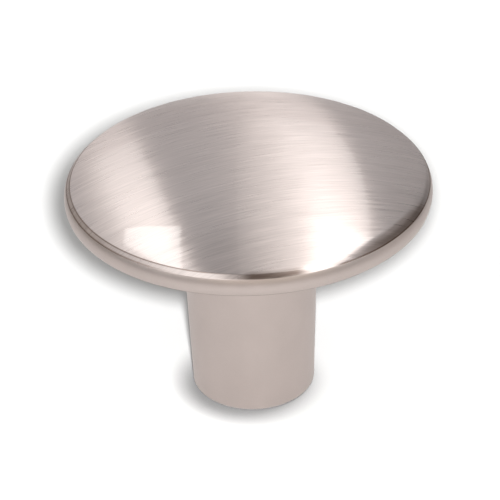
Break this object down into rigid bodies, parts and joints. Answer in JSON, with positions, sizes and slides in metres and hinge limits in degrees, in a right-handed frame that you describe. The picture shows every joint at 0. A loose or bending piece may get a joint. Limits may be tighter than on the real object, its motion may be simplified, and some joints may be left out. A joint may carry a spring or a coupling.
{
  "type": "cabinet knob",
  "caption": "Round mushroom knob for a cabinet door or drawer, with a brushed domed face, a satin rim band and a tapered stem tapped for a screw.",
  "frame": {"origin": "centre of the stem's mounting face, at the mouth of the screw hole", "axes": "+Z along the knob's axis, away from the door and towards the domed face; X and Y are free, because the casting is round"},
  "size_m": [0.032, 0.032, 0.0247],
  "materials": {
    "nickel": "brushed nickel plating on a zinc casting: straight linear brushing on the domed face, satin rim band, underside and stem"
  },
  "bodies": {
    "root": {"knob": "nickel"}
  },
  "joints": []
}
